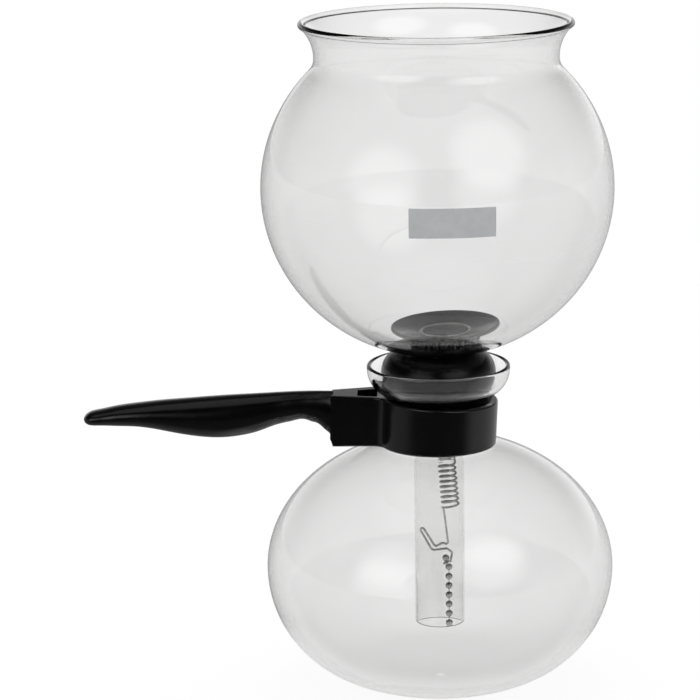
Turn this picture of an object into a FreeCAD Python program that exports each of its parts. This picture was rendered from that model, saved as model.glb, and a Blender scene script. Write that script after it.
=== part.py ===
import FreeCAD, Part
import math
import os

# Stovetop vacuum coffee maker. Millimetres, +Z up, origin at the centre of the carafe's foot.
# The handle points to -X, the screw of its collar is on the +Y side.

# Glass walls
GLASS = 2.0
FIT = 0.3                     # room between curved faces that part in use
SNUG = 0.05                   # radial clearance of a sliding fit

# Carafe, the lower bulb
CARAFE_R = 78.6
CARAFE_WIDEST_Z = 56.15
CARAFE_SHOULDER = 60.2        # vertical half axis above the widest line
CARAFE_SIDE_ARC = 53.0        # arc radius below the widest line
CARAFE_FOOT_R = 16.0          # flat that it stands on
NECK_R = 23.8
NECK_FILLET = 4.0
LIP_R = 32.25
LIP_START_Z = 132.2
LIP_TOP_Z = 150.0
LIP_LOWER_ARC = 6.5
LIP_RIM_STRAIGHT = 1.0

# Funnel, the upper globe with its stem
HEIGHT = 305.0
GLOBE_R = 78.54
GLOBE_HALF_H = 75.55
GLOBE_Z = 230.4
WAIST_R = 54.2
WAIST_FILLET = 3.0
WAIST_STRAIGHT = 0.5
RIM_R = 60.95
RIM_BEAD_R = 1.4
STEM_R = 11.33
STEM_WALL = 1.75
STEM_FOOT_Z = 28.8
STEM_FILLET = 3.0

# Rubber gasket
GASKET_FOOT_Z = 124.5
GASKET_FOOT_R = 20.3
GASKET_BULGE_R = 25.9
GASKET_BULGE_Z = 146.2
GASKET_DOME_ARC = 11.0
GASKET_LEAD_IN = 3.2

# Handle and collar, drawn level and then tipped on the neck
COLLAR_R = 26.3
COLLAR_HALF_H = 10.7
COLLAR_Z = 123.75
COLLAR_TIP_DEG = 2.7          # handle side up, while the lower face stays level
COLLAR_DEEP = 14.0            # reach below the ring's middle before that face is trimmed
COLLAR_EDGE = 0.8
ROOT_HALF_W = 6.4             # at the root's end, from which its rear wall slants to the ring
ROOT_END = 48.7
ROOT_FILLET = 6.0
EAR = 2.4                     # thickness of the strap's ear on the slanted wall
EAR_END = 33.6                # from the point where the wall touches the ring
POCKET_NEAR = 28.2
POCKET_FAR = 37.2
POCKET_DEPTH = 16.0
POCKET_WALL = 2.3
GRIP_TIP = 160.6
GRIP_TIP_ROUND = 4.0
ARCH_U = 62.5                 # top of the finger arch under the grip
ARCH_Z = -1.8
ARCH_HALF_L = 15.4
ARCH_HALF_H = 13.5
GRIP_TOP = [(46.0, 11.6), (62.5, 10.75), (82.4, 8.85), (98.7, 7.2), (116.0, 5.1), (126.0, 3.85),
            (135.0, 2.45), (144.0, 0.85), (153.0, -1.4), (161.0, -3.4)]
GRIP_UNDER = [(62.5, -1.8), (73.4, -4.9), (82.4, -8.6), (89.7, -10.5), (98.7, -11.75), (108.0, -11.65),
              (116.0, -10.8), (126.0, -9.2), (135.0, -8.2), (144.0, -8.2), (161.0, -8.6)]
GRIP_HALF_W = [(46.0, 6.0), (62.0, 6.6), (80.0, 8.2), (100.0, 9.4), (135.0, 8.4), (153.0, 6.8),
               (161.0, 6.2)]
GRIP_POWER = 2.3              # 2 gives elliptical sections, more gives squarer ones
GRIP_POINTS = 16              # points round a section

# Clamp screw and nut
SCREW_R = 2.0
SCREW_HEAD_R = 3.8
SCREW_HEAD_H = 2.4
SCREW_SLOT = 1.0
SCREW_ALONG = 26.8            # from the point where the wall touches the ring
NUT_SIDE = 7.0
NUT_H = 3.2

# Filter, lying a little off centre in the round bottom of the globe
FILTER_R = 24.8
FILTER_TOP_Z = 167.4
FILTER_EDGE_R = 0.9
FILTER_DISH = 0.9             # fall of the top face from the edge to the well
FILTER_WELL_R = 9.6
FILTER_WELL_DEPTH = 3.4
FILTER_RING_R = 10.7
FILTER_RING_H = 0.5
FILTER_WALL = 1.7
FILTER_LEAN_X_DEG = 1.4       # back edge up
FILTER_LEAN_Y_DEG = -2.64     # right edge up
FIN_COUNT = 24
FIN_THICK = 0.9
FIN_INNER_R = 10.8
FIN_OUTER_R = 15.5
HUB_R = 4.4
HUB_FOOT_Z = 154.5

# Spring, hook and eye, one bent wire
WIRE_R = 0.5
COIL_R = 3.7
COIL_PITCH = 2.35
COIL_TURNS = 18.65
COIL_FOOT = (4.9, -1.3, 84.0)
COIL_LEAN_DEG = 4.3
COIL_BEND = 1.5
LEG_TOP = (2.2, 0.0, 80.6)
HOOK_BENDS = [((3.95, 65.6), 0.95), ((1.4, 66.9), 1.4), ((-1.9, 64.9), 1.2)]
HOOK_RETURN_BEND = ((-3.35, 63.3), 1.8)
HOOK_TIP = (-6.9, 73.2)
HOOK_STRAND_GAP = 1.65        # between the two strands of the hairpin
HOOK_TO_EYE = [((3.3, 64.1), 1.4), ((5.7, 62.2), 1.4)]
EYE_R = 1.5
EYE_SWEEP_DEG = 285.0

# Pull chain
BEAD_R = 1.6
BEAD_WALL = 0.25
BEAD_HOLE_R = 0.55
BEAD_PITCH = 4.44
BEAD_COUNT = 8
LINK_R = 0.22
LINK_HEAD_R = 0.62
LINK_HEAD_OUT = 0.75          # from the bead's centre to the centre of the head inside it
CHAIN_TOP = (4.08, 0.0, 55.4)     # second bead, from which the chain hangs straight
FIRST_BEAD_LEAN_DEG = 18.0        # the first bead leans to the left above it

Z_AXIS = FreeCAD.Vector(0, 0, 1)
Y_AXIS = FreeCAD.Vector(0, 1, 0)
ORIGIN = FreeCAD.Vector(0, 0, 0)


def at(r, z):
    """A point of a turned profile, radius r and height z."""
    return FreeCAD.Vector(r, 0, z)


def line(p, q):
    return Part.LineSegment(p, q).toShape()


def arc(p, middle, q):
    return Part.Arc(p, middle, q).toShape()


def arc_about(centre, radius, start_deg, end_deg):
    """Arc of a turned profile, angles counted from the outward radius towards +Z."""
    ends = []
    for degrees in (start_deg, 0.5 * (start_deg + end_deg), end_deg):
        angle = math.radians(degrees)
        ends.append(at(centre[0] + radius * math.cos(angle), centre[1] + radius * math.sin(angle)))
    return arc(*ends)


def ellipse_arc(half_r, half_h, centre_z, start, end):
    """Arc of the ellipse r = half_r cos t, z = centre_z + half_h sin t, for t from start to end."""
    ellipse = Part.Ellipse(at(half_r, centre_z), at(0, centre_z + half_h), at(0, centre_z))
    return ellipse.toShape(min(start, end), max(start, end))


def turned(edges):
    """Solid of revolution about the Z axis from the edges of a closed profile."""
    wire = Part.Wire(Part.__sortEdges__(edges))
    solid = Part.Face(wire).revolve(ORIGIN, Z_AXIS, 360)
    if solid.Volume < 0:
        solid.reverse()
    return solid


def neck_blend(half_r, half_h, neck_r, fillet):
    """Where a fillet touches an ellipse and a neck of radius neck_r above it.

    The fillet's centre lies one fillet radius out from the neck and out from the ellipse, so the
    ellipse's parameter t is found by halving. Returns t and the height of the centre above the
    ellipse's own centre.
    """
    low, high = 0.05, 0.5 * math.pi - 0.01
    for _ in range(60):
        t = 0.5 * (low + high)
        out_r, out_z = math.cos(t) / half_r, math.sin(t) / half_h
        norm = math.hypot(out_r, out_z)
        if half_r * math.cos(t) + fillet * out_r / norm > neck_r + fillet:
            low = t
        else:
            high = t
    return t, half_h * math.sin(t) + fillet * out_z / norm


def blend_arc(half_r, half_h, centre_z, neck_r, fillet, side):
    """Fillet between an ellipse and a neck above it (side 1) or below it (side -1)."""
    t, rise = neck_blend(half_r, half_h, neck_r, fillet)
    centre = (neck_r + fillet, centre_z + side * rise)
    foot_r = half_r * math.cos(t) - centre[0]
    foot_z = centre_z + side * half_h * math.sin(t) - centre[1]
    foot_deg = math.degrees(math.atan2(foot_z, foot_r))
    neck_deg = -180.0 if side > 0 else 180.0
    return t, centre[1], arc_about(centre, fillet, foot_deg, neck_deg)


def carafe_side(grow):
    """One wall of the carafe from the axis to the lip, moved outwards by grow."""
    centre_r = CARAFE_R - CARAFE_SIDE_ARC
    gap_r = centre_r - CARAFE_FOOT_R
    rise = CARAFE_WIDEST_Z - CARAFE_SIDE_ARC
    foot_arc = (gap_r ** 2 + CARAFE_WIDEST_Z ** 2 - CARAFE_SIDE_ARC ** 2) / (2 * rise)
    joint_deg = math.degrees(math.atan2(CARAFE_WIDEST_Z - foot_arc, gap_r))
    half_r, half_h = CARAFE_R + grow, CARAFE_SHOULDER + grow
    t, blend_z, blend = blend_arc(half_r, half_h, CARAFE_WIDEST_Z, NECK_R + grow, NECK_FILLET - grow, 1)
    lip_deg, upper_arc = lip_turn()
    lower = (NECK_R + LIP_LOWER_ARC, LIP_START_Z)
    upper_z = LIP_TOP_Z - 0.5 * GLASS - LIP_RIM_STRAIGHT
    upper = (LIP_R - upper_arc, upper_z)
    top_z = LIP_TOP_Z - 0.5 * GLASS
    return [
        line(at(0, -grow), at(CARAFE_FOOT_R, -grow)),
        arc_about((CARAFE_FOOT_R, foot_arc), foot_arc + grow, -90.0, joint_deg),
        arc_about((centre_r, CARAFE_WIDEST_Z), CARAFE_SIDE_ARC + grow, joint_deg, 0.0),
        ellipse_arc(half_r, half_h, CARAFE_WIDEST_Z, 0.0, t),
        blend,
        line(at(NECK_R + grow, blend_z), at(NECK_R + grow, LIP_START_Z)),
        arc_about(lower, LIP_LOWER_ARC - grow, 180.0, 180.0 - lip_deg),
        arc_about(upper, upper_arc + grow, -lip_deg, 0.0),
        line(at(LIP_R + grow, upper_z), at(LIP_R + grow, top_z)),
    ]


def lip_turn():
    """Turn of the lip's S-shaped flare in degrees, and the radius of its upper arc."""
    out = LIP_R - NECK_R
    up = LIP_TOP_Z - 0.5 * GLASS - LIP_RIM_STRAIGHT - LIP_START_Z
    turn = 2.0 * math.atan2(out, up)
    return math.degrees(turn), up / math.sin(turn) - LIP_LOWER_ARC


def carafe_glass():
    """Blown bulb with a rounded rim between its outer and inner wall."""
    top_z = LIP_TOP_Z - 0.5 * GLASS
    rim = arc(at(LIP_R, top_z), at(LIP_R - 0.5 * GLASS, LIP_TOP_Z), at(LIP_R - GLASS, top_z))
    axis = line(at(0, 0), at(0, GLASS))
    return turned(carafe_side(0.0) + carafe_side(-GLASS) + [rim, axis])


def carafe_clearance(gap):
    """Outer form of the carafe, gap larger all round, to cut what sits on its neck."""
    top_z = LIP_TOP_Z - 0.5 * GLASS
    lid = line(at(LIP_R + gap, top_z), at(0, top_z))
    return turned(carafe_side(gap) + [lid, line(at(0, top_z), at(0, -gap))])


def flare():
    """Funnel flare at mid wall: its start height, arc radius and turn in radians."""
    mid_r = WAIST_R - 0.5 * GLASS
    start_z = blend_arc(GLOBE_R, GLOBE_HALF_H, GLOBE_Z, WAIST_R, WAIST_FILLET, 1)[1] + WAIST_STRAIGHT
    out = RIM_R - RIM_BEAD_R - mid_r
    up = HEIGHT - RIM_BEAD_R - start_z
    turn = 2.0 * math.atan2(out, up)
    radius = up / math.sin(turn)
    bead_reach = math.sqrt(RIM_BEAD_R ** 2 - 0.25 * GLASS ** 2)
    return start_z, radius, turn - bead_reach / radius


def flare_point(across, along):
    """Point at the flare's end, across the wall from its middle and along it beyond the end."""
    start_z, radius, turn = flare()
    centre_r = WAIST_R - 0.5 * GLASS + radius
    r = centre_r - (radius - across) * math.cos(turn) + along * math.sin(turn)
    z = start_z + (radius - across) * math.sin(turn) + along * math.cos(turn)
    return at(r, z)


def funnel_side(grow, stem_r, stem_foot_z):
    """One wall of the funnel from the stem's foot to the rim, moved outwards by grow."""
    half_r, half_h = GLOBE_R + grow, GLOBE_HALF_H + grow
    fillet = STEM_FILLET - grow
    low_t, low_z, low_blend = blend_arc(half_r, half_h, GLOBE_Z, stem_r, fillet, -1)
    waist_r = WAIST_R + grow
    top_t, top_z, top_blend = blend_arc(half_r, half_h, GLOBE_Z, waist_r, WAIST_FILLET - grow, 1)
    start_z, radius, turn = flare()
    centre_r = WAIST_R - 0.5 * GLASS + radius
    flare_radius = radius - 0.5 * GLASS - grow
    return [
        line(at(stem_r, stem_foot_z), at(stem_r, low_z)),
        low_blend,
        ellipse_arc(half_r, half_h, GLOBE_Z, -low_t, top_t),
        top_blend,
        line(at(waist_r, top_z), at(waist_r, start_z)),
        arc_about((centre_r, start_z), flare_radius, 180.0, 180.0 - math.degrees(turn)),
    ]


def funnel_glass():
    """Globe, flare with a fire-rounded bead, and stem with a rounded foot."""
    half = 0.5 * GLASS
    reach = math.sqrt(RIM_BEAD_R ** 2 - half ** 2)
    bead = arc(flare_point(half, 0), flare_point(0, reach + RIM_BEAD_R), flare_point(-half, 0))
    bore_r = STEM_R - STEM_WALL
    foot_z = STEM_FOOT_Z + 0.5 * STEM_WALL
    foot = arc(at(STEM_R, foot_z), at(STEM_R - 0.5 * STEM_WALL, STEM_FOOT_Z), at(bore_r, foot_z))
    return turned(funnel_side(0.0, STEM_R, foot_z) + funnel_side(-GLASS, bore_r, foot_z) + [bead, foot])


def funnel_clearance(gap):
    """Closed outer form of the globe's lower half and its stem fillet, gap larger all round."""
    half_r, half_h = GLOBE_R + gap, GLOBE_HALF_H + gap
    stem_r = STEM_R + SNUG
    t, blend_z, blend = blend_arc(half_r, half_h, GLOBE_Z, stem_r, STEM_FILLET - gap, -1)
    return turned([
        line(at(0, blend_z), at(stem_r, blend_z)),
        blend,
        ellipse_arc(half_r, half_h, GLOBE_Z, -t, 0.0),
        line(at(half_r, GLOBE_Z), at(0, GLOBE_Z)),
        line(at(0, GLOBE_Z), at(0, blend_z)),
    ])


def gasket():
    """Turned rubber stopper: plug, seat on the lip's flare, bulging dome, bore for the stem."""
    bore = STEM_R + SNUG
    seat_centre = (NECK_R + LIP_LOWER_ARC, LIP_START_Z)
    seat_r = LIP_LOWER_ARC + GLASS + FIT
    seat_deg = 50.0
    seat_end = at(seat_centre[0] - seat_r * math.cos(math.radians(seat_deg)),
                  seat_centre[1] + seat_r * math.sin(math.radians(seat_deg)))
    bulge = at(GASKET_BULGE_R, GASKET_BULGE_Z)
    belly = at(0.35 * seat_end.x + 0.65 * bulge.x, 0.5 * (seat_end.z + bulge.z))
    dome_r = GASKET_BULGE_R - GASKET_DOME_ARC
    dome_top = GASKET_BULGE_Z + GASKET_DOME_ARC
    edges = [
        line(at(bore + 1.0, GASKET_FOOT_Z), at(GASKET_FOOT_R, GASKET_FOOT_Z)),
        line(at(GASKET_FOOT_R, GASKET_FOOT_Z), at(seat_centre[0] - seat_r, LIP_START_Z)),
        arc_about(seat_centre, seat_r, 180.0, 180.0 - seat_deg),
        arc(seat_end, belly, bulge),
        arc_about((dome_r, GASKET_BULGE_Z), GASKET_DOME_ARC, 0.0, 90.0),
        line(at(dome_r, dome_top), at(bore, dome_top)),
        line(at(bore, dome_top), at(bore, GASKET_FOOT_Z + GASKET_LEAD_IN)),
        line(at(bore, GASKET_FOOT_Z + GASKET_LEAD_IN), at(bore + 1.0, GASKET_FOOT_Z)),
    ]
    return turned(edges).cut(funnel_clearance(FIT))


def smooth(points, u):
    """Height at u of the smooth curve through the points, a cubic with slopes from its neighbours."""
    last = len(points) - 1
    i = 0
    while i < last - 1 and u > points[i + 1][0]:
        i += 1
    slopes = []
    for k in (i, i + 1):
        before, after = points[max(k - 1, 0)], points[min(k + 1, last)]
        slopes.append((after[1] - before[1]) / (after[0] - before[0]))
    span = points[i + 1][0] - points[i][0]
    s = (u - points[i][0]) / span
    return ((1 + 2 * s) * (1 - s) ** 2 * points[i][1] + s * s * (3 - 2 * s) * points[i + 1][1]
            + span * s * (1 - s) * ((1 - s) * slopes[0] - s * slopes[1]))


def grip_under(u):
    """Underside of the grip: the elliptical finger arch, then the swelling belly."""
    if u < ARCH_U:
        share = math.sqrt(1.0 - ((ARCH_U - u) / ARCH_HALF_L) ** 2)
        return ARCH_Z - ARCH_HALF_H * (1.0 - share)
    return smooth(GRIP_UNDER, u)


def grip_section(u):
    """Soft-cornered oval |y/w|^p + |z/h|^p = 1 across the grip at distance u from the neck's axis."""
    top, under, half_w = smooth(GRIP_TOP, u), grip_under(u), smooth(GRIP_HALF_W, u)
    middle, half_h = 0.5 * (top + under), 0.5 * (top - under)
    beyond = max(0.0, u - GRIP_TIP + GRIP_TIP_ROUND) / GRIP_TIP_ROUND
    shrink = math.sqrt(1.0 - beyond ** 2)
    points = []
    for number in range(GRIP_POINTS):
        angle = 2.0 * math.pi * number / GRIP_POINTS
        across = math.copysign(abs(math.cos(angle)) ** (2.0 / GRIP_POWER), math.cos(angle))
        rise = math.copysign(abs(math.sin(angle)) ** (2.0 / GRIP_POWER), math.sin(angle))
        points.append(FreeCAD.Vector(-u, half_w * shrink * across, middle + half_h * shrink * rise))
    curve = Part.BSplineCurve()
    curve.interpolate(Points=points, PeriodicFlag=True)
    return Part.Wire([curve.toShape()])


def grip():
    """Loft through sections that stand closer where the arch and the tip turn fast."""
    stations = [ROOT_END - 0.6, 50.5, 53.0, 56.0, 59.0, ARCH_U, 65.5, 69.0, 74.0, 80.0, 88.0, 97.0, 107.0]
    stations += [118.0, 128.0, 136.0, 143.0, 149.0, 153.0, GRIP_TIP - GRIP_TIP_ROUND]
    stations += [GRIP_TIP - GRIP_TIP_ROUND * share for share in (0.75, 0.5, 0.3, 0.15, 0.06, 0.015, 0.002)]
    return Part.makeLoft([grip_section(u) for u in stations], True, False)


def box(low, high):
    size = [b - a for a, b in zip(low, high)]
    return Part.makeBox(*size, FreeCAD.Vector(*low))


def wall_slant():
    """Turn in degrees of the root's rear wall, which touches the ring like a tangent."""
    corner = math.atan2(ROOT_HALF_W, -ROOT_END)
    touch = corner - math.acos(COLLAR_R / math.hypot(ROOT_END, ROOT_HALF_W))
    return math.degrees(touch) - 90.0


def slanted(shape):
    """Turn a piece drawn against the plane y = COLLAR_R onto the root's slanted rear wall."""
    shape.rotate(ORIGIN, Z_AXIS, wall_slant())
    return shape


def on_ring(degrees):
    angle = math.radians(degrees)
    return FreeCAD.Vector(COLLAR_R * math.cos(angle), COLLAR_R * math.sin(angle), 0)


def below_collar():
    """Room under the collar's lower face, which is level once the handle is tipped on the neck."""
    far = 2 * ROOT_END
    room = box((-far, -far, -far), (far, far, -COLLAR_HALF_H))
    room.rotate(ORIGIN, Y_AXIS, -COLLAR_TIP_DEG)
    return room


def collar_blank():
    """Ring and root block in one outline, with a concave blend in front, before the bore is cut."""
    reach = COLLAR_R + ROOT_FILLET
    blend_y = -ROOT_HALF_W - ROOT_FILLET
    blend = FreeCAD.Vector(-math.sqrt(reach ** 2 - blend_y ** 2), blend_y, 0)
    start = FreeCAD.Vector(blend.x, -ROOT_HALF_W, 0)
    start_deg = math.degrees(math.atan2(blend.y, blend.x))
    touch_deg = 90.0 + wall_slant()
    enter, touch = on_ring(start_deg), on_ring(touch_deg)
    hollow = blend + unit(start + enter - blend * 2) * ROOT_FILLET
    front_end = FreeCAD.Vector(-ROOT_END, -ROOT_HALF_W, 0)
    rear_end = FreeCAD.Vector(-ROOT_END, ROOT_HALF_W, 0)
    plan = Part.Wire([
        line(front_end, start),
        arc(start, hollow, enter),
        arc(enter, on_ring(0.5 * (start_deg + touch_deg)), touch),
        line(touch, rear_end),
        line(rear_end, front_end),
    ])
    plan.translate(at(0, -COLLAR_DEEP))
    blank = Part.Face(plan).extrude(at(0, COLLAR_HALF_H + COLLAR_DEEP)).cut(below_collar())
    outline = []
    for edge in blank.Edges:
        upright = edge.BoundBox.ZLength > COLLAR_HALF_H
        if not upright and edge.CenterOfMass.x > -ROOT_END + 0.01:
            outline.append(edge)
    return blank.makeFillet(COLLAR_EDGE, outline)


def ring_sector(inner_r, outer_r, start_deg, end_deg, half_h):
    """Sector of a ring about the Z axis, from one angle to another."""
    outer = Part.makeCylinder(outer_r, 2 * half_h, at(0, -half_h), Z_AXIS, end_deg - start_deg)
    sector = outer.cut(Part.makeCylinder(inner_r, 2 * half_h, at(0, -half_h)))
    sector.rotate(ORIGIN, Z_AXIS, start_deg)
    return sector


def strap_hook(room):
    """Tongue with a barb on the strap's far end, which hooks into the handle's half of the ring."""
    inner, step = NECK_R - 1.0, NECK_R + 1.2
    tongue = ring_sector(inner, step + room, -16.0 - 2 * room, 0.5, COLLAR_HALF_H)
    barb = ring_sector(step - 0.1, step + 0.7 + room, -16.0 - 2 * room, -11.0 + 2 * room, COLLAR_HALF_H)
    return tongue.fuse(barb)


def strap_blank(room):
    """Rear half of the ring with its ear along the slanted wall, before the bore is cut."""
    far, deep, top = 2 * ROOT_END, -COLLAR_DEEP, COLLAR_HALF_H
    behind = box((-ROOT_END, 0, deep), (COLLAR_R, COLLAR_R, top))
    root = slanted(box((-far, -far, deep), (0, COLLAR_R - EAR, top)))
    root_core = root.cut(Part.makeCylinder(COLLAR_R + room, top - deep, at(0, deep)))
    beyond_ear = slanted(box((-far, -far, deep), (-EAR_END, far, top)))
    return collar_blank().common(behind).cut(root_core).cut(beyond_ear)


def seated(solid):
    """Tip a level piece of the handle and lift it to its height on the neck."""
    placed = solid.copy()
    placed.rotate(ORIGIN, Y_AXIS, COLLAR_TIP_DEG)
    placed.translate(at(0, COLLAR_Z))
    return placed


def screw_length():
    return EAR + POCKET_WALL + NUT_H + 1.5


def screw_hole():
    start = FreeCAD.Vector(-SCREW_ALONG, COLLAR_R - screw_length() - 1.0, 0)
    return Part.makeCylinder(SCREW_R, screw_length() + 2.0, start, Y_AXIS)


def pocket():
    """Open-topped pocket of the root, which widens towards the ring along the slanted wall."""
    floor = COLLAR_HALF_H - POCKET_DEPTH
    room = box((-POCKET_FAR, -ROOT_HALF_W + POCKET_WALL, floor), (-POCKET_NEAR, COLLAR_R, COLLAR_HALF_H))
    far, wall_y = 2 * ROOT_END, COLLAR_R - EAR - POCKET_WALL
    return room.common(slanted(box((-far, -far, floor), (far, wall_y, COLLAR_HALF_H))))


def handle(neck_room):
    """Grip, root with its open pocket, and the front half of the collar."""
    arch = Part.Ellipse(at(-ARCH_U + ARCH_HALF_L, ARCH_Z - ARCH_HALF_H), at(-ARCH_U, ARCH_Z),
                        at(-ARCH_U, ARCH_Z - ARCH_HALF_H))
    arch_wire = Part.Wire([arch.toShape()])
    arch_wire.translate(FreeCAD.Vector(0, -2 * ROOT_HALF_W, 0))
    finger_arch = Part.Face(arch_wire).extrude(FreeCAD.Vector(0, 4 * ROOT_HALF_W, 0))
    front = collar_blank().cut(strap_blank(FIT)).cut(strap_hook(0.1))
    root = front.cut(pocket()).cut(slanted(screw_hole())).cut(finger_arch)
    return seated(root.fuse(grip()).removeSplitter()).cut(neck_room)


def collar_strap(neck_room):
    """Rear half of the collar, hooked at the far side and screwed to the root by its ear."""
    tongue = strap_hook(0.0).cut(below_collar())
    return seated(strap_blank(0.0).fuse(tongue).cut(slanted(screw_hole()))).cut(neck_room)


def clamp_screw():
    """Slotted pan-head screw through the ear, the root's wall and the nut."""
    face_y = COLLAR_R
    length = screw_length()
    shank = Part.makeCylinder(SCREW_R, length, FreeCAD.Vector(-SCREW_ALONG, face_y - length, 0), Y_AXIS)
    head = Part.makeCylinder(SCREW_HEAD_R, SCREW_HEAD_H, FreeCAD.Vector(-SCREW_ALONG, face_y, 0), Y_AXIS)
    outer_edge = [edge for edge in head.Edges if edge.CenterOfMass.y > face_y + SCREW_HEAD_H - 0.01]
    head = head.makeFillet(1.0, outer_edge[:1])
    slot = box((-SCREW_ALONG - SCREW_HEAD_R, face_y + SCREW_HEAD_H - 1.2, -0.5 * SCREW_SLOT),
               (-SCREW_ALONG + SCREW_HEAD_R, face_y + SCREW_HEAD_H + 1.0, 0.5 * SCREW_SLOT))
    return seated(slanted(shank.fuse(head.cut(slot)).removeSplitter()))


def clamp_nut():
    """Square nut flat against the pocket's rear wall."""
    half = 0.5 * NUT_SIDE
    wall_y = COLLAR_R - EAR - POCKET_WALL
    blank = box((-SCREW_ALONG - half, wall_y - NUT_H, -half), (-SCREW_ALONG + half, wall_y, half))
    return seated(slanted(blank.cut(screw_hole())))


def bowl():
    """Centre height and radius of the sphere that fits the globe's inner bottom."""
    half_r, half_h = GLOBE_R - GLASS, GLOBE_HALF_H - GLASS
    radius = half_r ** 2 / half_h
    return GLOBE_Z - half_h + radius, radius


def leaned(shape):
    """Slide a filter piece along the round bottom of the globe to where it lies."""
    pivot = at(0, bowl()[0])
    placed = shape.copy()
    placed.rotate(pivot, FreeCAD.Vector(1, 0, 0), FILTER_LEAN_X_DEG)
    placed.rotate(pivot, Y_AXIS, FILTER_LEAN_Y_DEG)
    return placed


def filter_plate():
    """Dished plate with a rounded edge, a bead round the central well, and the hub under it."""
    top, edge = FILTER_TOP_Z, FILTER_EDGE_R
    ring_z = top - FILTER_DISH
    floor_z = top - FILTER_WELL_DEPTH
    under_z = floor_z - FILTER_WALL
    well_out = FILTER_WELL_R + FILTER_WALL
    ring_out, ring_in = FILTER_RING_R + 0.6, FILTER_WELL_R
    return turned([
        line(at(0, floor_z), at(FILTER_WELL_R - 0.6, floor_z)),
        line(at(FILTER_WELL_R - 0.6, floor_z), at(ring_in, ring_z)),
        arc(at(ring_in, ring_z), at(0.5 * (ring_in + ring_out), ring_z + FILTER_RING_H), at(ring_out, ring_z)),
        line(at(ring_out, ring_z), at(FILTER_R - edge, top)),
        arc(at(FILTER_R - edge, top), at(FILTER_R, top - edge), at(FILTER_R - edge, top - 2 * edge)),
        line(at(FILTER_R - edge, top - 2 * edge), at(well_out, ring_z - 2 * edge)),
        line(at(well_out, ring_z - 2 * edge), at(well_out - 0.6, under_z)),
        line(at(well_out - 0.6, under_z), at(HUB_R + 0.4, under_z)),
        line(at(HUB_R + 0.4, under_z), at(HUB_R, HUB_FOOT_Z)),
        line(at(HUB_R, HUB_FOOT_Z), at(0, HUB_FOOT_Z)),
        line(at(0, HUB_FOOT_Z), at(0, floor_z)),
    ])


def filter_fin():
    """Radial strainer fin whose lower edge follows the globe's round bottom."""
    centre_z, radius = bowl()
    reach = radius - FIT
    middle_r = 0.5 * (FIN_INNER_R + FIN_OUTER_R)

    def seat(r):
        return at(r, centre_z - math.sqrt(reach ** 2 - r ** 2))

    top_in = FILTER_TOP_Z - FILTER_DISH - FILTER_EDGE_R
    top_out = FILTER_TOP_Z - FILTER_EDGE_R
    outline = Part.Wire([
        arc(seat(FIN_INNER_R), seat(middle_r), seat(FIN_OUTER_R)),
        line(seat(FIN_OUTER_R), at(FIN_OUTER_R, top_out)),
        line(at(FIN_OUTER_R, top_out), at(FIN_INNER_R, top_in)),
        line(at(FIN_INNER_R, top_in), seat(FIN_INNER_R)),
    ])
    outline.translate(FreeCAD.Vector(0, -0.5 * FIN_THICK, 0))
    return Part.Face(outline).extrude(FreeCAD.Vector(0, FIN_THICK, 0))


def filter_disc():
    """Plate with its crown of strainer fins, lying in the bottom of the globe."""
    fins = []
    for number in range(FIN_COUNT):
        fin = filter_fin()
        fin.rotate(ORIGIN, Z_AXIS, 360.0 * number / FIN_COUNT)
        fins.append(fin)
    return leaned(filter_plate().fuse(fins).removeSplitter())


def unit(vector):
    return vector * (1.0 / vector.Length)


def biarc(p, start, q, end):
    """Two tangent arcs from point p along start to point q along end.

    The joint is found with equal tangent lengths d at both ends: with v = q - p and s = start + end,
    d solves v.v - 2 d v.s - 2 d d (1 - start.end) = 0.
    """
    v = q - p
    both = start + end
    square = 2.0 * (1.0 - start.dot(end))
    half = v.dot(both)
    if square < 1e-9:
        d = v.dot(v) / (2.0 * half)
    else:
        d = (-half + math.sqrt(half * half + square * v.dot(v))) / square
    first, second = p + start * d, q - end * d
    joint = (first + second) * 0.5
    return [tangent_arc(p, start, joint), tangent_arc(joint, unit(second - first), q)]


def tangent_arc(p, start, q):
    """Arc from p to q that leaves p along start."""
    chord = q - p
    side = chord - start * chord.dot(start)
    if side.Length < 1e-6:
        return line(p, q)
    side = unit(side)
    half_turn = math.atan2(chord.dot(side), chord.dot(start))
    radius = 0.5 * chord.Length / math.sin(half_turn)
    middle = p + start * (radius * math.sin(half_turn)) + side * (radius * (1.0 - math.cos(half_turn)))
    return arc(p, middle, q)


def wire_tube(edges):
    """Round wire of WIRE_R along a path of tangent edges."""
    path = Part.Wire(edges)
    first = edges[0]
    start = first.valueAt(first.FirstParameter)
    heading = first.tangentAt(first.FirstParameter)
    ring = Part.Wire([Part.Circle(start, heading, WIRE_R).toShape()])
    return path.makePipeShell([ring], True, False)


def least_gap(edges):
    """Least clear gap between stretches of a wire that are well apart along it, read on points."""
    step = 0.4
    points = []
    for edge in edges:
        count = max(2, int(edge.Length / step) + 1)
        points += edge.discretize(Number=count)[:-1]
    apart = int(math.pi * 2.2 / step)
    least = 1e9
    for i in range(0, len(points)):
        for j in range(i + apart, min(len(points), i + 12 * apart)):
            least = min(least, (points[i] - points[j]).Length)
    return least - 2 * WIRE_R


def coil_frame():
    """Foot, axis and two cross directions of the leaning coil."""
    lean = math.radians(COIL_LEAN_DEG)
    axis = FreeCAD.Vector(-math.sin(lean), 0, math.cos(lean))
    across = FreeCAD.Vector(math.cos(lean), 0, math.sin(lean))
    return FreeCAD.Vector(*COIL_FOOT), axis, across


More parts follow.
